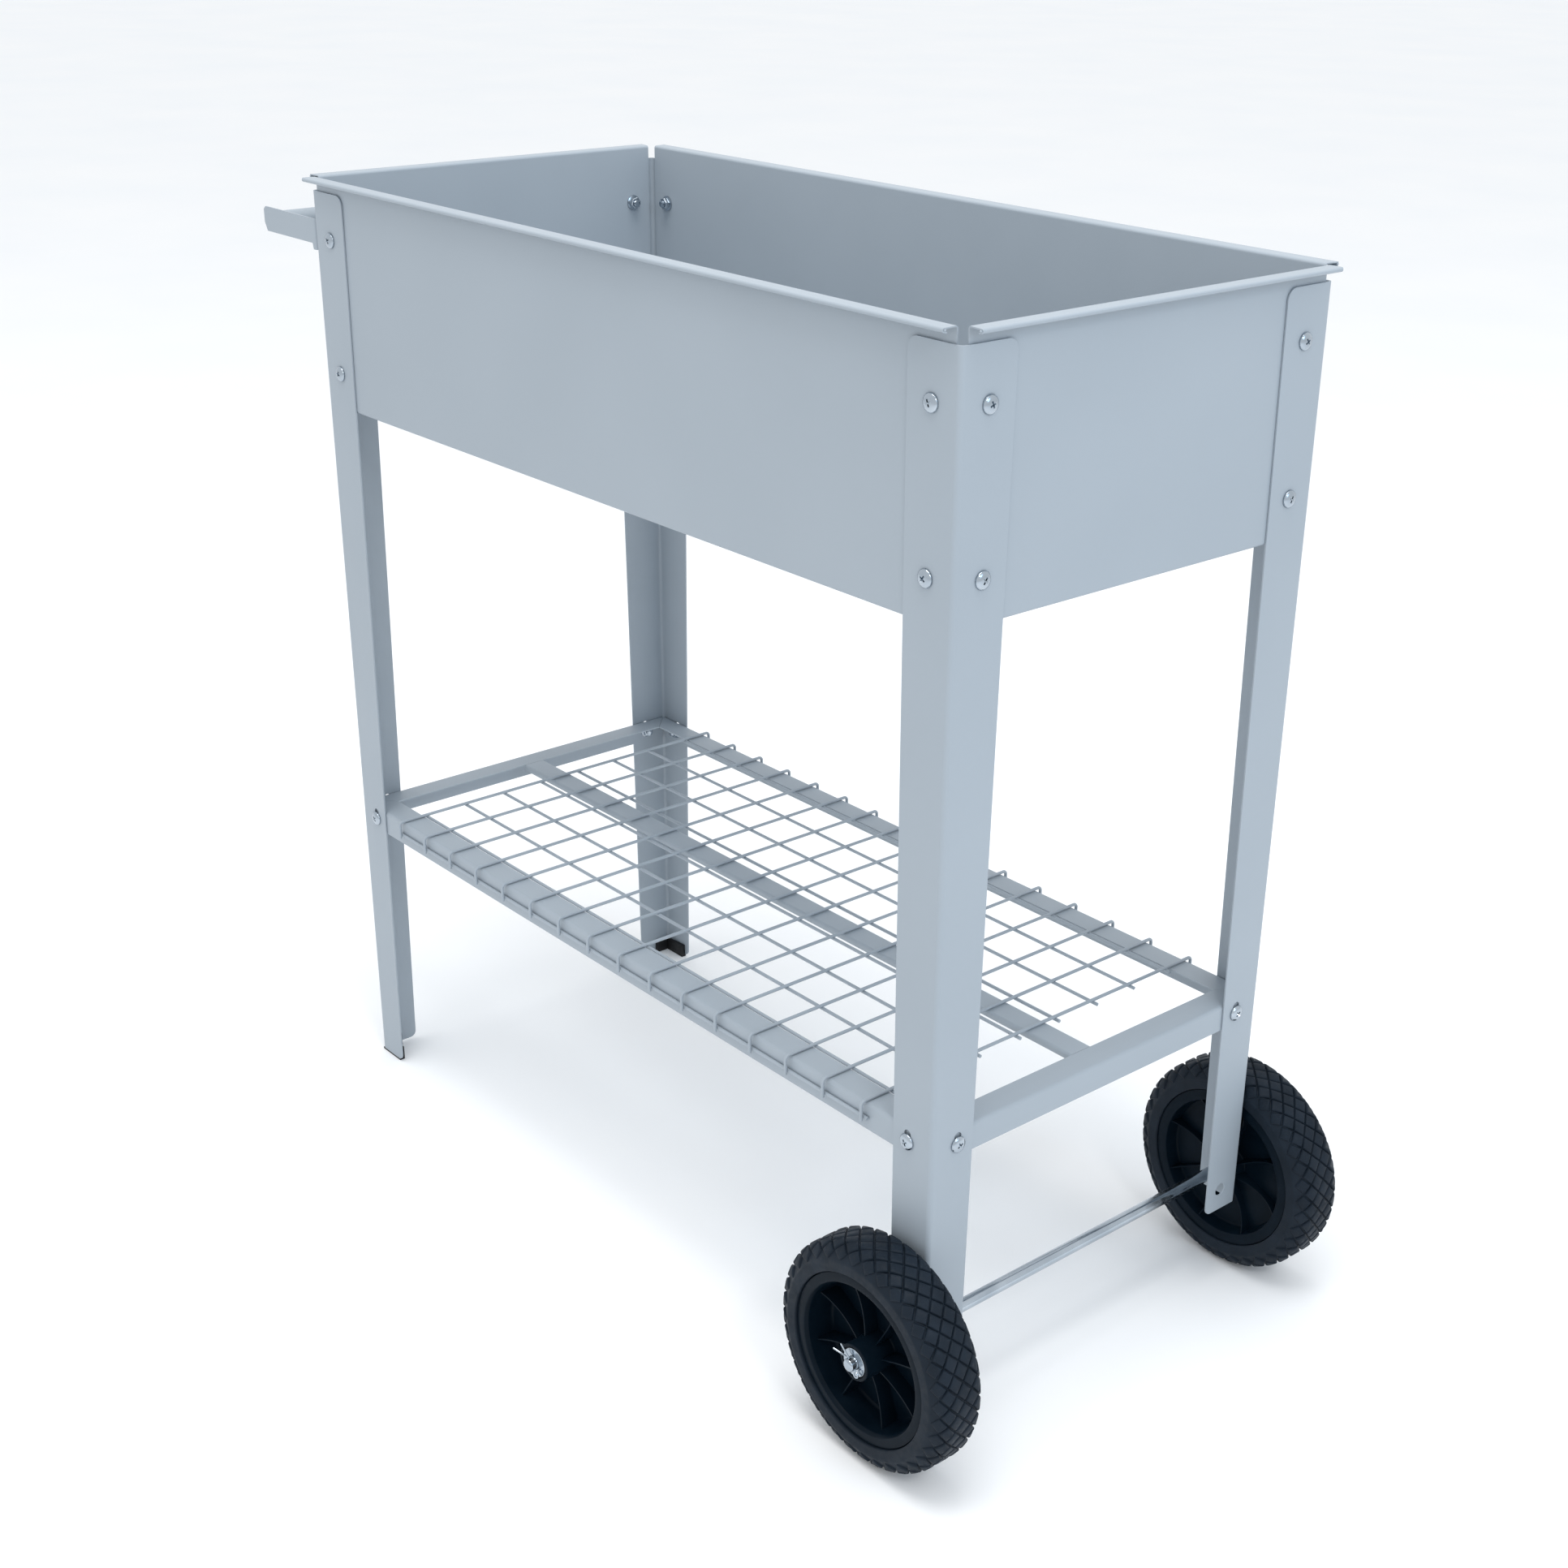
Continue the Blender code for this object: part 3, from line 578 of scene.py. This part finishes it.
def add_axle_cutters(sign_y, solid):
    """The holes for the axle in both flanges of a wheel-end leg."""
    inset = HALF_LENGTH - WHEEL_X
    end_y = sign_y * (HALF_WIDTH - inset)
    side = [(WHEEL_X, sign_y * (HALF_WIDTH + reach), WHEEL_Z) for reach in (-10 * MM, 10 * MM)]
    end = [(HALF_LENGTH + reach, end_y, WHEEL_Z) for reach in (-LEG_BEND, LEG_BEND)]
    tube(side, AXLE_HOLE, 32, solid)
    tube(end, AXLE_HOLE, 32, solid)


def add_legs():
    for name, (sign_x, sign_y) in CORNERS.items():
        node = "leg_" + name
        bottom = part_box(node)[0].z
        holes = keyhole_cutter(sign_x, sign_y)
        if sign_x > 0:
            add_axle_cutters(sign_y, holes)
        add_piece(node, "powder_coat", leg_solid((sign_x, sign_y), bottom), holes=holes)


def place_side(sign_y):
    """Places (outward, height) points of a long side's section at a distance along X."""
    return lambda point, along: Vector((along, sign_y * (WALL_Y + point.x), point.y))


def place_end(sign_x):
    return lambda point, along: Vector((sign_x * (WALL_X + point.x), along, point.y))


def wall_pairs():
    """The tray wall's section: bottom flange inward, wall, lip outward and a hem rolled under it."""
    lip_under = RIM_TOP - TRAY_SHEET
    hem_under = RIM_TOP - LIP_DROP + TRAY_SHEET
    path = (
        (-TRAY_FLANGE, TRAY_BOTTOM),
        (0.0, TRAY_BOTTOM),
        (0.0, lip_under),
        (LIP_REACH - TRAY_SHEET, lip_under),
        (LIP_REACH - TRAY_SHEET, hem_under),
        (LIP_REACH - TRAY_SHEET - LIP_HEM, hem_under),
    )
    roll = LIP_DROP / 2
    return bend(path, TRAY_SHEET, (TRAY_BEND, TRAY_BEND, roll, roll))


def wall_spans(pairs, half_length):
    """The wall stops short of the corner, its flange is mitred and its lip runs on, softly ended."""
    spans = []
    for face, _ in pairs:
        outward = face.x
        if outward < 0.0:
            cut_back = max(WALL_END_CUT, -outward + 2 * MITRE)
        else:
            cut_back = WALL_END_CUT + (LIP_END_CUT - WALL_END_CUT) * outward / LIP_REACH
        rim_share = max(0.0, outward - LIP_REACH + 2 * LIP_DROP) / (2 * LIP_DROP)
        cut_back += LIP_DROP * rim_share**4
        spans.append((-(half_length - cut_back), half_length - cut_back))
    return spans


def wall_solid(half_length, place):
    """A tray wall with a wire rolled into its hem, which closes the lip's ends."""
    pairs = wall_pairs()
    solid = folded_sheet(pairs, wall_spans(pairs, half_length), place)
    roll = LIP_DROP / 2
    run = half_length - LIP_END_CUT - roll / 2
    ends = ((run, LIP_WIRE / 2), (run - LIP_WIRE / 2, LIP_WIRE))
    profile = [(-along, radius) for along, radius in ends] + list(reversed(ends))
    loops = []
    for along, radius in profile:
        section = circle(radius, 0.0, 16)
        centre = Vector((LIP_REACH - roll, RIM_TOP - roll))
        loops.append([place(centre + point.xy, along) for point in section])
    loft(loops, into=solid)
    return solid


def add_tray():
    for name, sign_y in SIDES.items():
        add_piece("tray_wall_" + name, "powder_coat", wall_solid(WALL_X, place_side(sign_y)))
    for name, sign_x in ENDS.items():
        add_piece("tray_wall_" + name, "powder_coat", wall_solid(WALL_Y, place_end(sign_x)))
    low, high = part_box("tray_floor")
    half_x = (high.x - low.x) / 2
    half_y = (high.y - low.y) / 2
    corner = TRAY_BEND
    quarter = ((half_x, half_y - corner), (half_x - corner, half_y))
    outline = list(quarter)
    outline += [(-x, y) for x, y in reversed(quarter)]
    outline += [(-x, -y) for x, y in quarter]
    outline += [(x, -y) for x, y in reversed(quarter)]
    drains = bmesh.new()
    for column in range(DRAINS_A_ROW):
        x = (column - (DRAINS_A_ROW - 1) / 2) * DRAIN_PITCH_X
        for row in range(DRAIN_ROWS):
            y = (row - (DRAIN_ROWS - 1) / 2) * DRAIN_PITCH_Y
            tube(((x, y, low.z - 5 * MM), (x, y, high.z + 5 * MM)), DRAIN_RADIUS, 32, drains)
    add_piece("tray_floor", "powder_coat", prism(outline, low.z, high.z), holes=drains)


def add_rails():
    path = ((0.0, RAIL_BOTTOM), (0.0, SHELF_TOP), (-RAIL_FLANGE, SHELF_TOP))
    pairs = bend(path, RAIL_SHEET, (RAIL_BEND,))
    cuts = [max(RAIL_END_CUT, -face.x + MITRE) for face, _ in pairs]
    for name, sign_y in SIDES.items():
        spans = [(-(WALL_X - cut_back), WALL_X - cut_back) for cut_back in cuts]
        add_piece("shelf_rail_" + name, "powder_coat", folded_sheet(pairs, spans, place_side(sign_y)))
    for name, sign_x in ENDS.items():
        spans = [(-(WALL_Y - cut_back), WALL_Y - cut_back) for cut_back in cuts]
        add_piece("shelf_rail_" + name, "powder_coat", folded_sheet(pairs, spans, place_end(sign_x)))


def add_middle_bar():
    """The channel between the end rails."""
    low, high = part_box("shelf_middle_bar")
    half = (high.y - low.y) / 2
    end = WALL_X - RAIL_FLANGE - GAP
    fold_end = SHELF_TOP - BAR_FOLD
    path = ((half, fold_end), (half, SHELF_TOP), (-half, SHELF_TOP), (-half, fold_end))
    pairs = bend(path, RAIL_SHEET, (BAR_BEND, BAR_BEND))
    spans = [(-end, end)] * len(pairs)

    def place(point, along):
        return Vector((along, point.x, point.y))

    add_piece("shelf_middle_bar", "powder_coat", folded_sheet(pairs, spans, place))


def add_grid():
    """Cross wires bent down over the rails, on the long wires and the edge wires."""
    cross_z = SHELF_TOP + GAP + WIRE_RADIUS
    edge_y = WALL_Y + GAP + WIRE_RADIUS
    leg_y = edge_y + WIRE_CROSS
    edge_z = SHELF_TOP - END_WIRE_DROP
    leg_end_z = edge_z - WIRE_CROSS
    solid = bmesh.new()
    for index in range(CROSS_WIRES):
        x = (index - (CROSS_WIRES - 1) / 2) * WIRE_PITCH
        turns = ((-leg_y, leg_end_z), (-leg_y, cross_z), (leg_y, cross_z), (leg_y, leg_end_z))
        corners = [(x, y, z) for y, z in turns]
        tube(rounded_path(corners, WIRE_BEND), WIRE_RADIUS, WIRE_SIDES, solid)
    half_run = (CROSS_WIRES - 1) / 2 * WIRE_PITCH + WIRE_NUB
    long_z = cross_z - WIRE_CROSS
    lines = [((index - (LONG_WIRES - 1) / 2) * WIRE_PITCH, long_z) for index in range(LONG_WIRES)]
    for y, z in lines + [(-edge_y, edge_z), (edge_y, edge_z)]:
        tube(((-half_run, y, z), (half_run, y, z)), WIRE_RADIUS, WIRE_SIDES, solid)
    add_piece("shelf_grid", "powder_coat", solid)


def arm_span(x):
    """Lowest and highest point of a handle arm at a distance out from the tray's middle."""
    if x < HALF_LENGTH + sum(TAB_STEP) / 2:
        return TAB_BOTTOM, HANDLE_TOP
    low_run, low_rise = ARM_BOTTOM_CHAMFER
    top_run, top_fall = ARM_TOP_CHAMFER
    low = HANDLE_BOTTOM + low_rise * max(0.0, x - (HANDLE_END - low_run)) / low_run
    high = HANDLE_TOP - top_fall * max(0.0, x - (HANDLE_END - top_run)) / top_run
    return low, high


def place_arm(sign_y):
    return lambda point, height: Vector((point.x, -sign_y * point.y, height))


def add_handle():
    """Two arms with tabs screwed to the handle-end legs, and a tube between them."""
    tab_x = HALF_LENGTH + GAP
    cuts = [HALF_LENGTH + step for step in TAB_STEP]
    cuts += [HANDLE_END - ARM_BOTTOM_CHAMFER[0], HANDLE_END - ARM_TOP_CHAMFER[0]]
    for name, sign_y in SIDES.items():
        path = ((-tab_x, -TAB_INNER_Y), (-tab_x, -ARM_FACE_Y), (-HANDLE_END, -ARM_FACE_Y))
        pairs = bend(path, -HANDLE_SHEET, (HANDLE_BEND,))
        end_face, end_back = pairs.pop()
        for x in cuts:
            pairs.append((Vector((-x, end_face.y)), Vector((-x, end_back.y))))
        pairs.append((end_face, end_back))
        spans = [arm_span(-face.x) for face, _ in pairs]
        add_piece("handle_arm_" + name, "powder_coat", folded_sheet(pairs, spans, place_arm(sign_y)))
    low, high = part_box("handle_grip")
    outer = (high.z - low.z) / 2
    half = (high.y - low.y) / 2
    inner = outer - GRIP_WALL
    profile = ((outer, -half), (outer, half), (inner, half), (inner, -half))
    centre = middle("handle_grip")
    placement = Matrix.Translation((centre.x - TRAY_X, 0.0, centre.z)) @ Matrix.Rotation(-math.pi / 2, 4, "X")
    add_piece("handle_grip", "powder_coat", turned(profile, 48, ring=True), placement=placement)


def slot_cutter(head_face, turn):
    """One slot of the cross recess of a pan head, narrower at its floor."""
    top = head_face + HEAD_CURVE[-1][1] * MM
    spin = CART_PLACE.inverted() @ Matrix.Rotation(turn, 4, "Z")
    loops = []
    for depth, reach, half in ((-1.0 * MM, 1.15, 1.1), (RECESS_DEPTH, 0.45, 0.7)):
        x = RECESS_REACH * reach
        y = RECESS_HALF_WIDTH * half
        corners = ((-x, -y), (x, -y), (x, y), (-x, y))
        loops.append([spin @ Vector((a, b, top - depth)) for a, b in corners])
    return loft(loops)


def shank_profile(start, end):
    """A threaded shank: rings of alternate radius."""
    step = (end - start) / (2 * THREAD_TURNS)
    radii = (SCREW_RADIUS - 2 * THREAD_DEPTH, SCREW_RADIUS - THREAD_DEPTH / 2)
    return [(radii[index % 2], start + step * index) for index in range(2 * THREAD_TURNS + 1)]


def screw_object(name, head_face, nut_face):
    """A pan-head screw on its outward axis, with its nut. The recess is cut before the nut joins the mesh."""
    head = [(radius * MM, head_face + rise * MM) for radius, rise in HEAD_CURVE]
    nut_end = nut_face - NUT_HEIGHT
    tip = shank_profile(nut_end - TIP_LENGTH, nut_end)
    tip[0] = (SCREW_RADIUS - 4 * THREAD_DEPTH, tip[0][1])
    solid = turned(tip + [(SCREW_RADIUS, head_face)] + head, SCREW_SIDES)
    item = new_object(name, solid, CART_PLACE.inverted())
    for turn in (0.0, math.pi / 2):
        cut(item, slot_cutter(head_face, turn))
    whole = bmesh.new()
    whole.from_mesh(item.data)
    add_nut(nut_face, whole)
    whole.to_mesh(item.data)
    whole.free()
    return item


def add_nut(nut_face, into):
    """A hexagon nut with a flange that slopes up to it."""
    nut_end = nut_face - NUT_HEIGHT
    flange = (
        (SCREW_RADIUS, nut_face),
        (NUT_FLANGE_RADIUS, nut_face),
        (NUT_FLANGE_RADIUS, nut_face - NUT_FLANGE_EDGE),
        (NUT_ACROSS_CORNERS * 0.9, nut_face - NUT_SKIRT),
        (SCREW_RADIUS, nut_face - NUT_SKIRT),
    )
    turned(flange, SCREW_SIDES, ring=True, into=into)
    levels = (
        (0.92, nut_face - 0.8 * MM),
        (1.0, nut_face - 1.2 * MM),
        (1.0, nut_end + 0.6 * MM),
        (0.88, nut_end),
    )
    loft([circle(NUT_ACROSS_CORNERS * share, along, 6) for share, along in levels], into=into)


def add_screws():
    """Every screw shares one of a few meshes, told apart by what it clamps."""
    meshes = {}
    for corner, (sign_x, sign_y) in CORNERS.items():
        for height_name, height in SCREW_HEIGHTS.items():
            for face_name, outward, point in screw_points(sign_x, sign_y, height):
                over_tab = sign_x < 0 and face_name == "end" and height_name == "upper"
                node = f"screw_{corner}_{face_name}_{height_name}"
                on_rail = height_name == "shelf"
                key = (over_tab, on_rail)
                if key not in meshes:
                    head_face = GAP + (HANDLE_SHEET + GAP if over_tab else 0.0)
                    nut_face = -(LEG_SHEET + (RAIL_SHEET if on_rail else TRAY_SHEET) + 2 * GAP)
                    item = screw_object(node + "_look", head_face, nut_face)
                    meshes[key] = item.data
                else:
                    item = bpy.data.objects.new(node + "_look", meshes[key])
                    bpy.context.scene.collection.objects.link(item)
                spin = Matrix.Rotation(0.7 * sign_x + 0.9 * sign_y + 9.0 * height, 4, "Z")
                turn = outward.to_track_quat("Z", "Y").to_matrix().to_4x4()
                item.matrix_world = CART_PLACE @ Matrix.Translation(point) @ turn @ spin
                finish_piece(item, "zinc", "cart", node)


def axis_placement(sign_y):
    """Local +Z runs outward along the axle from the cart's middle."""
    return Matrix.Translation((WHEEL_X, 0.0, WHEEL_Z)) @ Matrix.Rotation(-sign_y * math.pi / 2, 4, "X")


def add_axle():
    low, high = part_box("axle")
    half = (high.y - low.y) / 2
    radius = (high.z - low.z) / 2
    dome = [(radius * math.cos(angle), half - radius * 0.42 * (1 - math.sin(angle)))
            for angle in (math.radians(degrees) for degrees in (0, 20, 40, 60, 75, 86))]
    profile = [(spot, -along) for spot, along in reversed(dome)] + dome
    add_piece("axle", "zinc", turned(profile, 48), placement=axis_placement(1))


def washer_solid(start, end, radius):
    edge = 0.3 * MM
    profile = (
        (AXLE_HOLE, start),
        (radius - edge, start),
        (radius, start + edge),
        (radius, end - edge),
        (radius - edge, end),
        (AXLE_HOLE, end),
    )
    return turned(profile, ring=True)


def add_washers():
    for name, sign_y in SIDES.items():
        for kind in ("washer_inner_", "washer_outer_"):
            low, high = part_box(kind + name)
            start, end = sorted((abs(low.y), abs(high.y)))
            solid = washer_solid(start, end, (high.z - low.z) / 2)
            add_piece(kind + name, "zinc", solid, placement=axis_placement(sign_y))


def pin_path(sign_y):
    """One wire: up one prong, through the axle, round the eye and back up the other prong."""
    side = PIN_WIRE * 1.02
    path = [Vector((-7.4 * MM, 3.4 * MM, 15.0 * MM)), Vector((-2.6 * MM, 1.2 * MM, 8.6 * MM))]
    path += [Vector((-side, 0.0, PIN_GRIP)), Vector((-side, 0.0, PIN_NECK))]
    for step in range(PIN_EYE_STEPS + 1):
        angle = math.pi * 0.62 + (math.tau - math.pi * 0.24) * step / PIN_EYE_STEPS
        rise = PIN_EYE_CENTRE + PIN_EYE * math.sin(angle)
        path.append(Vector((PIN_EYE * math.cos(angle), 0.0, rise)))
    path += [Vector((side, 0.0, PIN_NECK)), Vector((side, 0.0, PIN_GRIP))]
    path += [Vector((1.4 * MM, 1.0 * MM, 9.4 * MM)), Vector((2.4 * MM, 2.2 * MM, 16.5 * MM))]
    return [Vector((point.x, sign_y * point.y, point.z)) for point in path]


def add_pins():
    for name, sign_y in SIDES.items():
        tilt = Matrix.Rotation(PIN_TILT, 4, "Y")
        placement = Matrix.Translation((WHEEL_X, sign_y * PIN_Y, WHEEL_Z)) @ tilt
        add_piece("cotter_pin_" + name, "zinc", tube(pin_path(sign_y), PIN_WIRE, 10), placement=placement)


def rib_solid(angle, floor, hub, waist, wall, into):
    """A thin web from the hub to the dish's wall, lower in its middle."""
    loops = []
    for step in range(RIB_STEPS + 1):
        share = step / RIB_STEPS
        radius = (RIB_START + (RIB_END - RIB_START) * share) * MM
        dip = waist + (hub - waist) * (1 - share) ** 3 + (wall - waist) * share**3
        turn = Matrix.Rotation(angle + RIB_SWIRL * share**2, 4, "Z")
        half = RIB_HALF_THICKNESS
        corners = ((-half * 1.3, floor), (half * 1.3, floor), (half * 0.7, dip), (-half * 0.7, dip))
        loops.append([turn @ Vector((radius, across, along * MM)) for across, along in corners])
    return loft(loops, into=into)


def tread_place(u, v, lift):
    """A point of the tread: u is an angle, v runs across it from the middle, lift is above the carcass."""
    past = max(0.0, abs(v) - TREAD_FLAT)
    angle = past / TREAD_SHOULDER
    radius = WHEEL_Z - TREAD_HEIGHT - TREAD_SHOULDER * (1 - math.cos(angle)) + lift * math.cos(angle)
    across = min(abs(v), TREAD_FLAT) + (TREAD_SHOULDER - TREAD_HEIGHT + lift) * math.sin(angle)
    across = math.copysign(across, v)
    return Vector((radius * math.cos(u), radius * math.sin(u), TYRE_MIDDLE + across))


def add_block(u, v, into):
    """A raised diamond of the tread, its top a little smaller than its foot."""
    half_u = math.tau / TREAD_COLUMNS / 2
    half_v = TREAD_PITCH / 2
    loops = []
    for lift, shrink in BLOCK_LEVELS:
        loop = []
        for corner_u, corner_v in ((1, 0), (0, 1), (-1, 0), (0, -1)):
            next_u, next_v = -corner_v, corner_u
            for share in (0.0, 0.33, 0.67):
                edge_u = (corner_u + (next_u - corner_u) * share) * half_u * shrink
                edge_v = (corner_v + (next_v - corner_v) * share) * half_v * shrink
                loop.append(tread_place(u + edge_u, v + edge_v, lift))
        loops.append(loop)
    loft(loops, into=into)


def tyre_solid():
    solid = turned(rounded_outline(TYRE_OUTLINE), TURN_SIDES, ring=True)
    for row in range(-TREAD_ROWS, TREAD_ROWS + 1):
        for column in range(TREAD_COLUMNS):
            u = math.tau * (column + (row % 2) / 2) / TREAD_COLUMNS
            add_block(u, row * TREAD_PITCH / 2, solid)
    return solid


def add_wheels():
    for name, sign_y in SIDES.items():
        body = "wheel_" + name
        placement = axis_placement(sign_y)
        rim = turned(rounded_outline(RIM_OUTLINE), TURN_SIDES, ring=True)
        for index in range(RIBS):
            angle = math.tau * (index + 0.35) / RIBS
            rib_solid(angle, *OUTER_RIB, rim)
            rib_solid(angle, *INNER_RIB, rim)
        add_piece("wheel_rim_" + name, "rim_plastic", rim, body, placement)
        add_piece("tyre_" + name, "tyre", tyre_solid(), body, placement)


def finish_caps():
    for name in SIDES:
        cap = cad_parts["foot_cap_" + name]
        cap.data.materials.clear()
        cap.data.materials.append(MATERIALS["cap_plastic"])


def add_camera():
    """The camera stands off the front corner of the wheel end and looks down on the cart."""
    azimuth, elevation = CAMERA_AZIMUTH, CAMERA_ELEVATION
    flat = math.cos(elevation)
    back = Vector((math.sin(azimuth) * flat, -math.cos(azimuth) * flat, math.sin(elevation)))
    level = Vector((0.0, 0.0, 1.0)).cross(back).normalized()
    upright = back.cross(level)
    right = level * math.cos(CAMERA_ROLL) + upright * math.sin(CAMERA_ROLL)
    up = back.cross(right)
    lens = bpy.data.cameras.new("camera")
    lens.lens = CAMERA_LENS
    lens.shift_x, lens.shift_y = CAMERA_SHIFT
    camera = bpy.data.objects.new("camera", lens)
    camera.matrix_world = Matrix.Translation(CAMERA_PLACE) @ Matrix((right, up, back)).transposed().to_4x4()
    bpy.context.scene.collection.objects.link(camera)
    bpy.context.scene.camera = camera


def add_light(name, place, size, power, colour):
    lamp = bpy.data.lights.new(name, "AREA")
    lamp.shape = "SQUARE"
    lamp.size = size
    lamp.energy = power
    lamp.color = colour
    light = bpy.data.objects.new(name, lamp)
    aim = (Vector(place) - Vector(LIGHT_TARGET)).to_track_quat("Z", "Y")
    light.matrix_world = Matrix.Translation(place) @ aim.to_matrix().to_4x4()
    bpy.context.scene.collection.objects.link(light)


def add_studio():
    """A pale floor, an even pale surround and soft lights."""
    world = bpy.data.worlds.new("studio")
    world.use_nodes = True
    surround = world.node_tree.nodes["Background"]
    surround.inputs["Color"].default_value = SURROUND
    surround.inputs["Strength"].default_value = 1.0
    bpy.context.scene.world = world
    for light in LIGHTS:
        add_light(*light)
    bpy.ops.mesh.primitive_plane_add(size=FLOOR_SIZE, location=(0.0, 0.0, 0.0))
    floor = bpy.context.object
    floor.name = "floor"
    floor.data.materials.append(new_finish("floor_finish", **FLOOR_FINISH))


MATERIALS = {slot: new_finish(slot, **finish) for slot, finish in FINISHES.items()}

bpy.context.scene.view_settings.view_transform = "Standard"
add_camera()
add_studio()
add_tray()
add_legs()
add_handle()
add_rails()
add_middle_bar()
add_grid()
add_screws()
add_axle()
add_washers()
add_pins()
add_wheels()
finish_caps()
